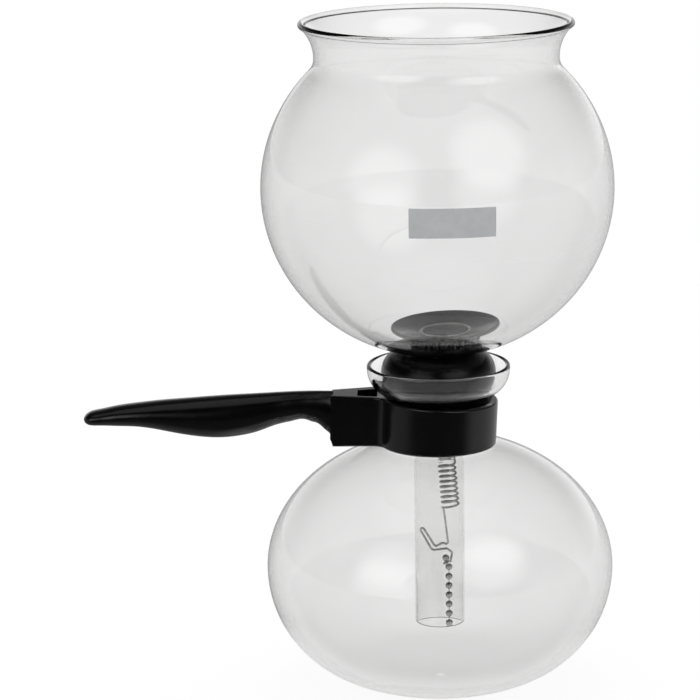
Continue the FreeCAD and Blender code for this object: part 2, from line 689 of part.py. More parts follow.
def coil_point(turns):
    """Point and heading of the helix, counted in turns up from its foot on the left side."""
    foot, axis, across = coil_frame()
    angle = math.pi + 2.0 * math.pi * turns
    out = across * math.cos(angle) + Y_AXIS * math.sin(angle)
    along = across * -math.sin(angle) + Y_AXIS * math.cos(angle)
    point = foot + axis * (COIL_PITCH * turns) + out * COIL_R
    return point, unit(along * (2.0 * math.pi * COIL_R) + axis * COIL_PITCH)


def spring_path():
    """From the leg's top round the coil and up to the filter's hub, as tangent lines and arcs."""
    leg_top = FreeCAD.Vector(*LEG_TOP)
    leg_foot = FreeCAD.Vector(HOOK_BENDS[0][0][0], 0, HOOK_BENDS[0][0][1])
    leg = unit(leg_top - leg_foot)
    leg_end = leg_top + leg * (2.0 * WIRE_R)
    edges = [line(leg_top, leg_end)]
    point, heading = coil_point(0.0)
    edges += biarc(leg_end, leg, point, heading)
    steps = int(math.ceil(2 * COIL_TURNS))
    for number in range(steps):
        goal, goal_heading = coil_point(COIL_TURNS * (number + 1) / steps)
        edges += biarc(point, heading, goal, goal_heading)
        point, heading = goal, goal_heading
    hub_axis = leaned(line(at(0, HUB_FOOT_Z), at(0, HUB_FOOT_Z + 10.0)))
    hub_foot = hub_axis.Vertexes[0].Point
    up = unit(hub_axis.Vertexes[1].Point - hub_foot)
    rise_start = point + heading * COIL_BEND + up * COIL_BEND
    edges += biarc(point, heading, rise_start, up)
    edges.append(line(rise_start, rise_start + up * (hub_foot - rise_start).dot(up)))
    return edges


def bent(points, radii):
    """Straight runs between points, each inner corner rounded by a tangent arc of its radius."""
    edges = []
    start = points[0]
    for before, corner, after, radius in zip(points, points[1:], points[2:], radii):
        into, out = unit(corner - before), unit(after - corner)
        reach = radius * math.tan(0.5 * into.getAngle(out))
        enter, leave = corner - into * reach, corner + out * reach
        edges.append(line(start, enter))
        edges.append(tangent_arc(enter, into, leave))
        start = leave
    edges.append(line(start, points[-1]))
    return edges


def chain_points():
    """Centres of the beads: the first leans to the left of the second, the rest hang straight."""
    second = FreeCAD.Vector(*CHAIN_TOP)
    lean = math.radians(FIRST_BEAD_LEAN_DEG)
    first = second + FreeCAD.Vector(-math.sin(lean), 0, math.cos(lean)) * BEAD_PITCH
    rest = [second - Z_AXIS * (BEAD_PITCH * number) for number in range(BEAD_COUNT - 1)]
    return [first] + rest


def hook_path():
    """Leg, inner strand, hairpin tip, outer strand, and the eye round the chain's first link."""
    def flat(place):
        return FreeCAD.Vector(place[0], 0, place[1])

    inner_bend, outer_bend = flat(HOOK_BENDS[-1][0]), flat(HOOK_RETURN_BEND[0])
    tip = flat(HOOK_TIP)
    rise = unit(tip - inner_bend)
    left = rise.cross(Y_AXIS)
    half = 0.5 * HOOK_STRAND_GAP
    tip_back = tip + left * HOOK_STRAND_GAP
    tip_top = tip + left * half + rise * half
    points = [FreeCAD.Vector(*LEG_TOP)] + [flat(place) for place, radius in HOOK_BENDS] + [tip]
    edges = bent(points, [radius for place, radius in HOOK_BENDS])
    edges.append(arc(tip, tip_top, tip_back))
    upper, lower = chain_points()[:2]
    middle = (upper + lower) * 0.5
    drop = unit(lower - upper)
    out = drop.cross(Y_AXIS)
    ring_start = middle + out * EYE_R
    over_ring = ring_start + out * 0.6 - drop * 1.3 - Y_AXIS * 1.1
    points = [tip_back, outer_bend] + [flat(place) for place, radius in HOOK_TO_EYE]
    radii = [HOOK_RETURN_BEND[1]] + [radius for place, radius in HOOK_TO_EYE]
    edges += bent(points + [over_ring], radii)
    edges += biarc(over_ring, unit(over_ring - points[-1]), ring_start, Y_AXIS)
    for start_deg in (0.0, 0.5 * EYE_SWEEP_DEG):
        spots = []
        for part in (0.0, 0.25, 0.5):
            angle = math.radians(start_deg + part * EYE_SWEEP_DEG)
            spots.append(middle + out * (EYE_R * math.cos(angle)) + Y_AXIS * (EYE_R * math.sin(angle)))
        edges.append(arc(*spots))
    return edges


def chain_bead():
    """Hollow bead with a hole at each end, upright at the origin."""
    inner = BEAD_R - BEAD_WALL
    outer_deg = math.degrees(math.acos(BEAD_HOLE_R / BEAD_R))
    inner_deg = math.degrees(math.acos(BEAD_HOLE_R / inner))
    outer_z, inner_z = math.sqrt(BEAD_R ** 2 - BEAD_HOLE_R ** 2), math.sqrt(inner ** 2 - BEAD_HOLE_R ** 2)
    return turned([
        arc_about((0, 0), BEAD_R, -outer_deg, outer_deg),
        line(at(BEAD_HOLE_R, outer_z), at(BEAD_HOLE_R, inner_z)),
        arc_about((0, 0), inner, inner_deg, -inner_deg),
        line(at(BEAD_HOLE_R, -inner_z), at(BEAD_HOLE_R, -outer_z)),
    ])


def chain_link():
    """Dumbbell pin with a round head inside each of the two beads, upright about the origin."""
    head_z = 0.5 * BEAD_PITCH - LINK_HEAD_OUT
    neck_z = head_z - math.sqrt(LINK_HEAD_R ** 2 - LINK_R ** 2)
    neck_deg = math.degrees(math.acos(LINK_R / LINK_HEAD_R))
    return turned([
        arc_about((0, head_z), LINK_HEAD_R, 90.0, -neck_deg),
        line(at(LINK_R, neck_z), at(LINK_R, -neck_z)),
        arc_about((0, -head_z), LINK_HEAD_R, neck_deg, -90.0),
        line(at(0, head_z + LINK_HEAD_R), at(0, -head_z - LINK_HEAD_R)),
    ])


def hung(shape, centre, lean_deg):
    """Turn an upright chain piece about Y and set it at its centre."""
    placed = shape.copy()
    placed.rotate(ORIGIN, Y_AXIS, -lean_deg)
    placed.translate(centre)
    return placed


def chain():
    """Beads and links by node name."""
    pieces = {}
    centres = chain_points()
    for number, centre in enumerate(centres):
        lean = FIRST_BEAD_LEAN_DEG * max(0.0, 1.0 - 0.5 * number)
        pieces["chain_bead_%d" % (number + 1)] = hung(chain_bead(), centre, lean)
    for number in range(BEAD_COUNT - 1):
        lean = FIRST_BEAD_LEAN_DEG if number == 0 else 0.0
        middle = (centres[number] + centres[number + 1]) * 0.5
        pieces["chain_link_%d" % (number + 1)] = hung(chain_link(), middle, lean)
    return pieces


def main():
    os.makedirs("parts", exist_ok=True)
    neck_room = carafe_clearance(SNUG)
    spring_edges = spring_path()
    hook_edges = hook_path()
    pieces = {
        "carafe_glass": carafe_glass(),
        "handle": handle(neck_room),
        "collar_strap": collar_strap(neck_room),
        "clamp_screw": clamp_screw(),
        "clamp_nut": clamp_nut(),
        "gasket": gasket(),
        "funnel_glass": funnel_glass(),
        "filter_disc": filter_disc(),
        "filter_spring": wire_tube(spring_edges),
        "spring_hook": wire_tube(hook_edges),
    }
    pieces.update(chain())
    for name, shape in pieces.items():
        print(name, shape.isValid(), len(shape.Solids), round(shape.Volume, 1))
        shape.exportStep("parts/%s.step" % name)
    section = math.pi * WIRE_R ** 2
    for name, edges in (("filter_spring", spring_edges), ("spring_hook", hook_edges)):
        length = sum(edge.Length for edge in edges)
        print(name, "length", round(length, 1), "section times length", round(section * length, 1),
              "least gap to itself", round(least_gap(edges), 2))


main()
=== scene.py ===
# %% [markdown]
# # A stovetop vacuum coffee maker
# Two blown glasses stand one on the other. The lower one, the carafe, is heated. Steam pushes the
# water up the stem into the open globe, and as it cools the coffee is drawn back down through the
# filter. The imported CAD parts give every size, and this file gives each piece its smooth surface
# and its finish. All lengths below are written in millimetres and put into the meshes in metres.

# %% Load the frame
import math

import bmesh
import bpy
import numpy as np
from mathutils import Matrix


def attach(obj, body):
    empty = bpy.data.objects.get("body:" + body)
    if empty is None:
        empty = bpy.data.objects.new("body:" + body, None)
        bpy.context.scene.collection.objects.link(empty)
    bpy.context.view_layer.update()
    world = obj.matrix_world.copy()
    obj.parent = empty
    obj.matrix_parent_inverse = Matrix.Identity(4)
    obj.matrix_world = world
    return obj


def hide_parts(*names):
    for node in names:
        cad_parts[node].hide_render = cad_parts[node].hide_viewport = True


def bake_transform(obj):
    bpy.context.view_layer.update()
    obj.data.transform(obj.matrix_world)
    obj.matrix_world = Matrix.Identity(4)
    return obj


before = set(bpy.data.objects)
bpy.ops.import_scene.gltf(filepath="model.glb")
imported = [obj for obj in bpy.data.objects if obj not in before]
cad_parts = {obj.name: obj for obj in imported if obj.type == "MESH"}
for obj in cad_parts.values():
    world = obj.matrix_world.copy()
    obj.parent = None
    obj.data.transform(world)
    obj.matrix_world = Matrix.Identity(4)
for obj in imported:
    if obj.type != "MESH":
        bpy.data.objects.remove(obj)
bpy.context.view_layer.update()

X, Y, Z = np.eye(3)

# %% [markdown]
# ## From arrays to meshes
# Almost every piece here is a profile turned about an axis or carried along a line, so its points
# form a grid of rows and columns. Two helpers are enough: one joins the points of a grid with
# four-sided faces, the other hands the finished arrays to Blender. Rows that shrink to one point on
# the axis are merged there, so that the skin is closed and has a volume that can be measured.

# %% Grid helpers
def grid_faces(rows, columns, loop_rows=False, loop_columns=True):
    """Faces of a grid: the corners (i, j), (i, j+1), (i+1, j+1), (i+1, j), the loops closed where asked."""
    i = np.arange(rows if loop_rows else rows - 1)[:, None]
    j = np.arange(columns if loop_columns else columns - 1)[None, :]
    over, up = (j + 1) % columns, (i + 1) % rows
    corners = [i * columns + j, i * columns + over, up * columns + over, up * columns + j]
    return np.stack(corners, -1).reshape(-1, 4)


def put(name, points, faces, body, nodes, finish, sharp_deg=35.0):
    """Make a piece of points in mm, shade it smooth up to sharp_deg, and let it stand for its CAD nodes."""
    mesh = bpy.data.meshes.new(name)
    mesh.from_pydata((np.reshape(points, (-1, 3)) * 0.001).tolist(), [], np.reshape(faces, (-1, 4)).tolist())
    skin = bmesh.new()
    skin.from_mesh(mesh)
    bmesh.ops.remove_doubles(skin, verts=skin.verts, dist=1e-7)
    bmesh.ops.dissolve_degenerate(skin, edges=skin.edges, dist=1e-9)
    volume = skin.calc_volume(signed=True)
    skin.to_mesh(mesh)
    skin.free()
    mesh.shade_smooth()
    mesh.set_sharp_from_angle(angle=math.radians(sharp_deg))
    mesh.materials.append(finish)
    piece = bpy.data.objects.new(name, mesh)
    bpy.context.scene.collection.objects.link(piece)
    if nodes:
        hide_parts(*nodes)
    if body:
        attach(piece, body)
    print("%-16s %6d faces  %8.2f cm3" % (name, len(mesh.polygons), volume * 1e6))
    return piece

# %% [markdown]
# ## Profiles
# A turned piece is known by half its section: a line in the plane of radius and height. Glass that
# is blown and necked runs in arcs, parts of ovals and straight stretches that meet without a corner,
# so those three are the building blocks.

# %% Profile helpers
def stacked(*parts):
    """Coordinates that may be single numbers, rows or columns, stretched to one array of points."""
    return np.stack(np.broadcast_arrays(*parts), -1)


def arc(centre, radius, start_deg, end_deg, count=16):
    """Points centre + radius (cos a, sin a), for a from start to end."""
    a = np.radians(np.linspace(start_deg, end_deg, count))
    return stacked(centre[0] + radius * np.cos(a), centre[1] + radius * np.sin(a))


def oval(half_r, half_h, centre_z, start, end, count=64):
    """Points half_r cos t, centre_z + half_h sin t, for t from start to end."""
    t = np.linspace(start, end, count)
    return stacked(half_r * np.cos(t), centre_z + half_h * np.sin(t))


def run(start, end, count=2):
    """Points of a straight stretch, evenly spaced."""
    share = np.linspace(0.0, 1.0, count)[:, None]
    return (1.0 - share) * np.array(start, float) + share * np.array(end, float)


def joined(*stretches):
    """One line from several, without the repeated point where two of them meet."""
    whole = np.concatenate(stretches)
    step = np.linalg.norm(np.diff(whole, axis=0), axis=1)
    return whole[np.r_[True, step > 1e-5]]


def turned(profile, steps=192):
    """Turn a profile about Z: the point (r, z) goes to (r cos a, r sin a, z) all round."""
    a = np.linspace(0.0, 2.0 * np.pi, steps, endpoint=False)
    r, z = profile[:, 0, None], profile[:, 1, None]
    return stacked(r * np.cos(a), r * np.sin(a), z)


def neck_blend(half_r, half_h, neck_r, fillet):
    """Where a fillet touches an oval and the neck that rises from it.

    The fillet's centre is one fillet radius out from the oval and from the neck. The distance still
    missing to the neck falls with the oval's t, so t is read where it is zero. Returns t, the
    centre's height over the oval's centre, and the angle of the touching point round the fillet.
    """
    t = np.linspace(0.05, 0.5 * np.pi - 0.01, 20001)
    out = np.stack([np.cos(t) / half_r, np.sin(t) / half_h])
    out = out / np.linalg.norm(out, axis=0)
    missing = half_r * np.cos(t) + fillet * out[0] - neck_r - fillet
    t0 = np.interp(0.0, -missing, t)
    out_r, out_z = np.interp(t0, t, out[0]), np.interp(t0, t, out[1])
    return t0, half_h * math.sin(t0) + fillet * out_z, math.degrees(math.atan2(-out_z, -out_r))

# %% [markdown]
# ## The finishes
# Each material starts from the Principled shader with its uniform values set on the shader itself.
# What varies over the surface, such as the small waves of a moulding or the haze of handled rubber,
# comes from noise on Object coordinates, so it stays on the piece whichever way it is looked at.

# %% Material helpers
def finish(name, **values):
    """A material with its Principled values set; returns it with its node tree and shader."""
    material = bpy.data.materials.new(name)
    material.use_nodes = True
    tree = material.node_tree
    shader = tree.nodes["Principled BSDF"]
    for socket, value in values.items():
        shader.inputs[socket.replace("_", " ")].default_value = value
    return material, tree, shader


def noise(tree, scale, detail=3.0, stretch=(1.0, 1.0, 1.0)):
    """Noise on Object coordinates, scale waves to the metre, pulled out along an axis by stretch."""
    place = tree.nodes.new("ShaderNodeTexCoord")
    mapping = tree.nodes.new("ShaderNodeMapping")
    mapping.inputs["Scale"].default_value = stretch
    field = tree.nodes.new("ShaderNodeTexNoise")
    field.inputs["Scale"].default_value = scale
    field.inputs["Detail"].default_value = detail
    tree.links.new(place.outputs["Object"], mapping.inputs["Vector"])
    tree.links.new(mapping.outputs["Vector"], field.inputs["Vector"])
    return field.outputs["Fac"]


def ranged(tree, value, low, high, target):
    """Send noise of 0.3 to 0.7 to a socket as low to high."""
    node = tree.nodes.new("ShaderNodeMapRange")
    node.inputs["From Min"].default_value = 0.3
    node.inputs["From Max"].default_value = 0.7
    node.inputs["To Min"].default_value = low
    node.inputs["To Max"].default_value = high
    tree.links.new(value, node.inputs["Value"])
    tree.links.new(node.outputs["Result"], target)


def tinted(tree, value, dark, pale, target):
    """Send noise of 0.3 to 0.7 to a colour socket, from dark to pale."""
    ramp = tree.nodes.new("ShaderNodeValToRGB")
    ramp.color_ramp.elements[0].position = 0.3
    ramp.color_ramp.elements[0].color = (*dark, 1.0)
    ramp.color_ramp.elements[1].position = 0.7
    ramp.color_ramp.elements[1].color = (*pale, 1.0)
    tree.links.new(value, ramp.inputs["Fac"])
    tree.links.new(ramp.outputs["Color"], target)


def bumped(tree, value, height_mm, strength, shader):
    """Raise the surface by noise, height_mm at full strength."""
    bump = tree.nodes.new("ShaderNodeBump")
    bump.inputs["Strength"].default_value = strength
    bump.inputs["Distance"].default_value = height_mm * 0.001
    tree.links.new(value, bump.inputs["Height"])
    tree.links.new(bump.outputs["Normal"], shader.inputs["Normal"])

# %% [markdown]
# Two more helpers work on single values. One is a sum or product of two values, the other an S-shaped
# step from one level to another, which has no kink that a mirror image would show.

# %% Node helpers
def level(tree, operation, first, second):
    """One Math node on two values, each a socket or a number."""
    node = tree.nodes.new("ShaderNodeMath")
    node.operation = operation
    for socket, value in zip(node.inputs, (first, second)):
        if isinstance(value, float):
            socket.default_value = value
        else:
            tree.links.new(value, socket)
    return node.outputs[0]


def climbing(tree, value, low, high, start, end):
    """Smooth step: start below low, end above high, an S between them."""
    node = tree.nodes.new("ShaderNodeMapRange")
    node.interpolation_type = "SMOOTHSTEP"
    for socket, number in zip(("From Min", "From Max", "To Min", "To Max"), (low, high, start, end)):
        node.inputs[socket].default_value = number
    tree.links.new(value, node.inputs["Value"])
    return node.outputs["Result"]

# %% [markdown]
# Glass is the main material. It bends light by its index of refraction, and over each millimetre of
# its depth it swallows a share of the light, which is what makes the rims and outlines darker.

# %% Blown glass
def blown_glass():
    """Clear borosilicate: it bends light, swallows a little of it, and is faintly wavy from blowing."""
    material, tree, shader = finish("blown_glass", Base_Color=(1.0, 1.0, 1.0, 1.0), Roughness=0.0,
                                    IOR=1.474, Transmission_Weight=1.0)
    bumped(tree, noise(tree, 14.0, 0.0), 0.05, 0.12, shader)
    depth = tree.nodes.new("ShaderNodeVolumeAbsorption")
    depth.inputs["Color"].default_value = (0.517, 0.517, 0.508, 1.0)
    depth.inputs["Density"].default_value = 86.0
    tree.links.new(depth.outputs["Volume"], tree.nodes["Material Output"].inputs["Volume"])
    return material


GLASS_FINISH = blown_glass()

# %% [markdown]
# The handle is deep black and glossy, the gasket black and satin.

# %% Moulded plastic and rubber
def black_moulding():
    """Glossy black plastic with the faint orange peel of the mould and a hand-worn sheen."""
    material, tree, shader = finish("black_moulding", IOR=1.5)
    tinted(tree, noise(tree, 60.0), (0.0008, 0.0008, 0.0009), (0.0016, 0.0016, 0.0018),
           shader.inputs["Base Color"])
    ranged(tree, noise(tree, 90.0, 5.0), 0.13, 0.24, shader.inputs["Roughness"])
    bumped(tree, noise(tree, 450.0, 2.0), 0.02, 0.12, shader)
    return material


def black_rubber():
    """Satin black rubber, a little dusty, with a fine matt grain."""
    material, tree, shader = finish("black_rubber", IOR=1.5, Specular_IOR_Level=0.18)
    tinted(tree, noise(tree, 120.0), (0.0012, 0.0012, 0.0012), (0.0028, 0.0028, 0.0028),
           shader.inputs["Base Color"])
    ranged(tree, noise(tree, 200.0, 5.0), 0.17, 0.27, shader.inputs["Roughness"])
    bumped(tree, noise(tree, 1500.0, 2.0), 0.02, 0.15, shader)
    return material


PLASTIC_FINISH, RUBBER_FINISH = black_moulding(), black_rubber()

# %% [markdown]
# The filter is greyer. Its bead round the well and its rim carry a painted highlight: the distance
# from the filter's axis picks a paler colour there, broken up by noise.

# %% Filter plastic
def radius_about(tree, x_mm, y_mm):
    """Distance in millimetres from the upright line through (x, y), on Object coordinates."""
    place = tree.nodes.new("ShaderNodeTexCoord")
    mapping = tree.nodes.new("ShaderNodeMapping")
    length = tree.nodes.new("ShaderNodeVectorMath")
    mapping.inputs["Location"].default_value = (-x_mm, -y_mm, 0.0)
    mapping.inputs["Scale"].default_value = (1000.0, 1000.0, 0.0)
    length.operation = "LENGTH"
    tree.links.new(place.outputs["Object"], mapping.inputs["Vector"])
    tree.links.new(mapping.outputs["Vector"], length.inputs[0])
    return length.outputs["Value"]


def filter_moulding(x_mm=3.23, y_mm=1.71, bead_mm=11.1, rim_mm=24.4):
    """Dark satin plastic of the filter, greyed by use, with a painted highlight on its bead and rim."""
    material, tree, shader = finish("filter_moulding", IOR=1.5)
    out = radius_about(tree, x_mm, y_mm)
    # Painted highlight: the bead round the well and the rim get a paler colour, standing in for light caught
    # there.
    off_bead = level(tree, "ABSOLUTE", level(tree, "SUBTRACT", out, bead_mm), 0.0)
    bead = climbing(tree, off_bead, 0.2, 1.1, 1.0, 0.0)
    painted_highlight = level(tree, "MAXIMUM", bead, climbing(tree, out, rim_mm - 0.7, rim_mm, 0.0, 0.5))
    patchy_painted_highlight = level(tree, "MULTIPLY", painted_highlight, climbing(tree, noise(tree, 500.0), 0.35, 0.6, 0.5, 1.0))
    mix = tree.nodes.new("ShaderNodeMix")
    mix.data_type = "RGBA"
    share, plain, pale = [mix.inputs[number] for number in (0, 6, 7)]
    tinted(tree, noise(tree, 150.0), (0.014, 0.014, 0.014), (0.024, 0.024, 0.024), plain)
    # This paler colour is the tone of the painted highlight.
    pale.default_value = (0.30, 0.30, 0.29, 1.0)
    tree.links.new(patchy_painted_highlight, share)
    tree.links.new(mix.outputs[2], shader.inputs["Base Color"])
    ranged(tree, noise(tree, 220.0, 5.0), 0.14, 0.24, shader.inputs["Roughness"])
    bumped(tree, noise(tree, 1200.0, 2.0), 0.02, 0.2, shader)
    return material


FILTER_FINISH = filter_moulding()

# %% [markdown]
# The enamel on the globe is a thin, almost even grey.

# %% Enamel
def grey_enamel():
    """Thin grey screen-printed enamel, slightly uneven where the ink is thinner."""
    material, tree, shader = finish("grey_enamel", IOR=1.5)
    tinted(tree, noise(tree, 260.0, 4.0), (0.295, 0.30, 0.305), (0.325, 0.33, 0.335),
           shader.inputs["Base Color"])
    ranged(tree, noise(tree, 700.0, 3.0), 0.35, 0.5, shader.inputs["Roughness"])
    bumped(tree, noise(tree, 2500.0, 2.0), 0.005, 0.2, shader)
    return material


PRINT_FINISH = grey_enamel()

# %% [markdown]
# The wire is drawn, the chain plated and the screw zinc-coated: one kind of steel skin at three levels
# of brightness and dullness.

# %% Steel
def steel(name, dark, pale, roughness, scale, stretch=(1.0, 1.0, 1.0)):
    """Bare steel: metallic, with a drawn or plated skin that is duller in patches."""
    material, tree, shader = finish(name, Metallic=1.0)
    tinted(tree, noise(tree, scale, 4.0, stretch), dark, pale, shader.inputs["Base Color"])
    ranged(tree, noise(tree, 2.3 * scale, 4.0, stretch), *roughness, shader.inputs["Roughness"])
    bumped(tree, noise(tree, 6.0 * scale, 2.0, stretch), 0.004, 0.2, shader)
    return material


WIRE_FINISH = steel("drawn_wire", (0.36, 0.36, 0.35), (0.52, 0.52, 0.50), (0.16, 0.30), 300.0)
CHAIN_FINISH = steel("plated_chain", (0.34, 0.34, 0.33), (0.48, 0.48, 0.46), (0.08, 0.2), 400.0)
SCREW_FINISH = steel("zinc_screw", (0.46, 0.47, 0.48), (0.60, 0.61, 0.62), (0.22, 0.38), 350.0, (1, 0.2, 1))
print("finishes", sorted(m.name for m in bpy.data.materials if m.use_nodes))

# %% [markdown]
# ## The carafe
# The lower bulb is an oval shoulder over a rounder belly with a small flat foot. A short neck rises
# from the shoulder and rolls outwards into the lip. Glass of one thickness has an inner wall that is
# the outer one moved inwards, so the same function draws both, with its radii grown or shrunk.

# %% Carafe
GLASS = 2.0
CARAFE_R, WIDEST_Z, SHOULDER, SIDE_ARC, FOOT_R = 78.6, 56.15, 60.2, 53.0, 2.0
NECK_R, NECK_FILLET = 23.8, 4.0
LIP_R, LIP_START, LIP_TOP, LIP_LOWER, LIP_STRAIGHT = 32.25, 132.2, 150.0, 6.5, 1.0


def carafe_wall(grow):
    """Foot, two belly arcs, oval shoulder, neck fillet, and an S of two arcs out to the lip.

    The foot's arc leaves the floor level and meets the side arc without a corner, which fixes its
    radius. Both arcs of the S turn by twice the slope of the straight line between its ends.
    """
    centre_r = CARAFE_R - SIDE_ARC
    gap = centre_r - FOOT_R
    foot_arc = (gap ** 2 + WIDEST_Z ** 2 - SIDE_ARC ** 2) / (2.0 * (WIDEST_Z - SIDE_ARC))
    joint = math.degrees(math.atan2(WIDEST_Z - foot_arc, gap))
    half_r, half_h, fillet = CARAFE_R + grow, SHOULDER + grow, NECK_FILLET - grow
    t, rise, touch = neck_blend(half_r, half_h, NECK_R + grow, fillet)
    rim_z = LIP_TOP - 0.5 * GLASS
    up = rim_z - LIP_STRAIGHT - LIP_START
    turn = 2.0 * math.atan2(LIP_R - NECK_R, up)
    upper = up / math.sin(turn) - LIP_LOWER
    swing = math.degrees(turn)
    return joined(
        run((0.0, -grow), (FOOT_R, -grow), 3),
        arc((FOOT_R, foot_arc), foot_arc + grow, -90.0, joint, 30),
        arc((centre_r, WIDEST_Z), SIDE_ARC + grow, joint, 0.0, 34),
        oval(half_r, half_h, WIDEST_Z, 0.0, t, 56),
        arc((NECK_R + fillet + grow, WIDEST_Z + rise), fillet, touch, -180.0, 12),
        run((NECK_R + grow, WIDEST_Z + rise), (NECK_R + grow, LIP_START)),
        arc((NECK_R + LIP_LOWER, LIP_START), LIP_LOWER - grow, 180.0, 180.0 - swing, 12),
        arc((LIP_R - upper, rim_z - LIP_STRAIGHT), upper + grow, -swing, 0.0, 14),
        run((LIP_R + grow, rim_z - LIP_STRAIGHT), (LIP_R + grow, rim_z)))


def carafe():
    """Outer wall up, round the rim in a half circle, and down the inner wall."""
    rim = arc((LIP_R - 0.5 * GLASS, LIP_TOP - 0.5 * GLASS), 0.5 * GLASS, 0.0, 180.0, 13)
    points = turned(joined(carafe_wall(0.0), rim, carafe_wall(-GLASS)[::-1]), 288)
    return put("carafe", points, grid_faces(*points.shape[:2]), "carafe", ["carafe_glass"],
               GLASS_FINISH, 180.0)


carafe()

# %% [markdown]
# ## The funnel
# The upper globe is nearly round. Its mouth is pinched at a waist and flares to a fire-rounded bead,
# and its bottom runs into the stem that dips into the carafe. It is one closed skin: up the outside,
# over the bead, down the inside and round the foot of the stem.

# %% Funnel
HEIGHT, GLOBE_R, GLOBE_H, GLOBE_Z = 305.0, 78.54, 75.55, 230.4
WAIST_R, WAIST_FILLET, WAIST_STRAIGHT, RIM_R, BEAD_ROLL = 54.2, 8.0, 0.3, 60.95, 1.4
STEM_R, STEM_WALL, STEM_FOOT, STEM_FILLET = 11.33, 1.35, 28.8, 3.0


def flare():
    """Start height, radius and turn of the flare at mid wall, short of the rolled bead.

    The arc starts upright, so it turns by twice the slope of the line to its end.
    """
    start = GLOBE_Z + neck_blend(GLOBE_R, GLOBE_H, WAIST_R, WAIST_FILLET)[1] + WAIST_STRAIGHT
    out, up = RIM_R - BEAD_ROLL - WAIST_R + 0.5 * GLASS, HEIGHT - BEAD_ROLL - start
    turn = 2.0 * math.atan2(out, up)
    radius = up / math.sin(turn)
    return start, radius, turn - math.sqrt(BEAD_ROLL ** 2 - 0.25 * GLASS ** 2) / radius


def funnel_wall(grow, stem_r):
    """Stem, its fillet into the globe, the oval globe, the pinched waist and the flare."""
    half_r, half_h = GLOBE_R + grow, GLOBE_H + grow
    low = STEM_FILLET - grow
    low_t, low_rise, low_touch = neck_blend(half_r, half_h, stem_r, low)
    pinch, waist = WAIST_FILLET - grow, WAIST_R + grow
    top_t, top_rise, top_touch = neck_blend(half_r, half_h, waist, pinch)
    start, radius, turn = flare()
    return joined(
        run((stem_r, STEM_FOOT + 0.5 * STEM_WALL), (stem_r, GLOBE_Z - low_rise)),
        arc((stem_r + low, GLOBE_Z - low_rise), low, 180.0, -low_touch, 12),
        oval(half_r, half_h, GLOBE_Z, -low_t, top_t, 104),
        arc((waist + pinch, GLOBE_Z + top_rise), pinch, top_touch, -180.0, 12),
        run((waist, GLOBE_Z + top_rise), (waist, start)),
        arc((WAIST_R - 0.5 * GLASS + radius, start), radius - 0.5 * GLASS - grow, 180.0,
            180.0 - math.degrees(turn), 16))


def funnel():
    """Outer wall, rolled bead about the flare's end, inner wall, and the round foot of the stem."""
    start, radius, turn = flare()
    reach = math.sqrt(BEAD_ROLL ** 2 - 0.25 * GLASS ** 2)
    along = np.array([math.sin(turn), math.cos(turn)])
    mid = np.array([WAIST_R - 0.5 * GLASS + radius * (1.0 - math.cos(turn)), start + radius * math.sin(turn)])
    open_deg = math.degrees(math.atan2(0.5 * GLASS, -reach))
    tilt = math.degrees(math.atan2(along[1], along[0]))
    bead = arc(mid + along * reach, BEAD_ROLL, tilt - open_deg, tilt + open_deg, 25)
    foot_z = STEM_FOOT + 0.5 * STEM_WALL
    foot = arc((STEM_R - 0.5 * STEM_WALL, foot_z), 0.5 * STEM_WALL, -180.0, 0.0, 9)
    profile = joined(funnel_wall(0.0, STEM_R), bead, funnel_wall(-GLASS, STEM_R - STEM_WALL)[::-1], foot)
    points = turned(profile[:-1], 300)
    return put("funnel", points, grid_faces(*points.shape[:2], loop_rows=True), "funnel", ["funnel_glass"],
               GLASS_FINISH, 180.0)


funnel()

# %% [markdown]
# ## The grey patch
# A small oblong of grey enamel is fired onto the front of the globe. It follows the oval glass a
# twentieth of a millimetre outside it. The grid runs over height and over the angle round the axis.

# %% Enamel patch
def enamel_patch(middle_deg=-85.25, half_deg=13.65, low_z=222.7, high_z=235.5, proud=0.05):
    """A strip of the globe: r = (globe + proud) cos t at each height, closed by its own rim behind."""
    rows, columns = 24, 48
    count = rows * columns
    height = np.linspace(low_z, high_z, rows)
    angle = np.radians(np.linspace(middle_deg - half_deg, middle_deg + half_deg, columns))
    share = (height - GLOBE_Z) / GLOBE_H
    r = GLOBE_R * np.sqrt(1.0 - share ** 2)[:, None] + np.array([proud, 0.01])[:, None, None]
    points = stacked(r * np.cos(angle), r * np.sin(angle), height[:, None])
    faces = grid_faces(rows, columns, loop_columns=False)
    edge = np.r_[np.arange(columns), np.arange(2, rows) * columns - 1,
                 np.arange(count - 1, count - columns - 1, -1), np.arange(rows - 2, 0, -1) * columns]
    ahead = np.roll(edge, -1)
    rim = np.stack([ahead, edge, edge + count, ahead + count], -1)
    faces = np.concatenate([faces, faces[:, ::-1] + count, rim])
    return put("enamel_patch", points, faces, "funnel", [], PRINT_FINISH, 60.0)


enamel_patch()

# %% [markdown]
# ## The gasket
# A rubber stopper on the stem closes the carafe's neck. Its plug tapers, a hollow seat follows the
# rolled lip, and the part that shows is a plump dome whose top is scooped to clear the globe.

# %% Gasket
PLUG_R, PLUG_FOOT, PLUG_EDGE, LEAD_IN = 20.3, 124.5, 0.8, 3.2
BULGE_R, BULGE_Z, DOME, BORE_EDGE, FIT = 25.9, 146.2, 11.0, 0.6, 0.3


def scooped(profile):
    """Lower the points that would lie inside the globe, grown by the fit, to its underside."""
    half_r, half_h = GLOBE_R + FIT, GLOBE_H + FIT
    r, z = profile.T
    reach = half_r * np.sqrt(np.clip(1.0 - ((z - GLOBE_Z) / half_h) ** 2, 0.0, 1.0))
    underside = GLOBE_Z - half_h * np.sqrt(1.0 - (r / half_r) ** 2)
    inside = (r < reach) & (z > BULGE_Z)
    return stacked(r, np.where(inside, np.minimum(z, underside), z))


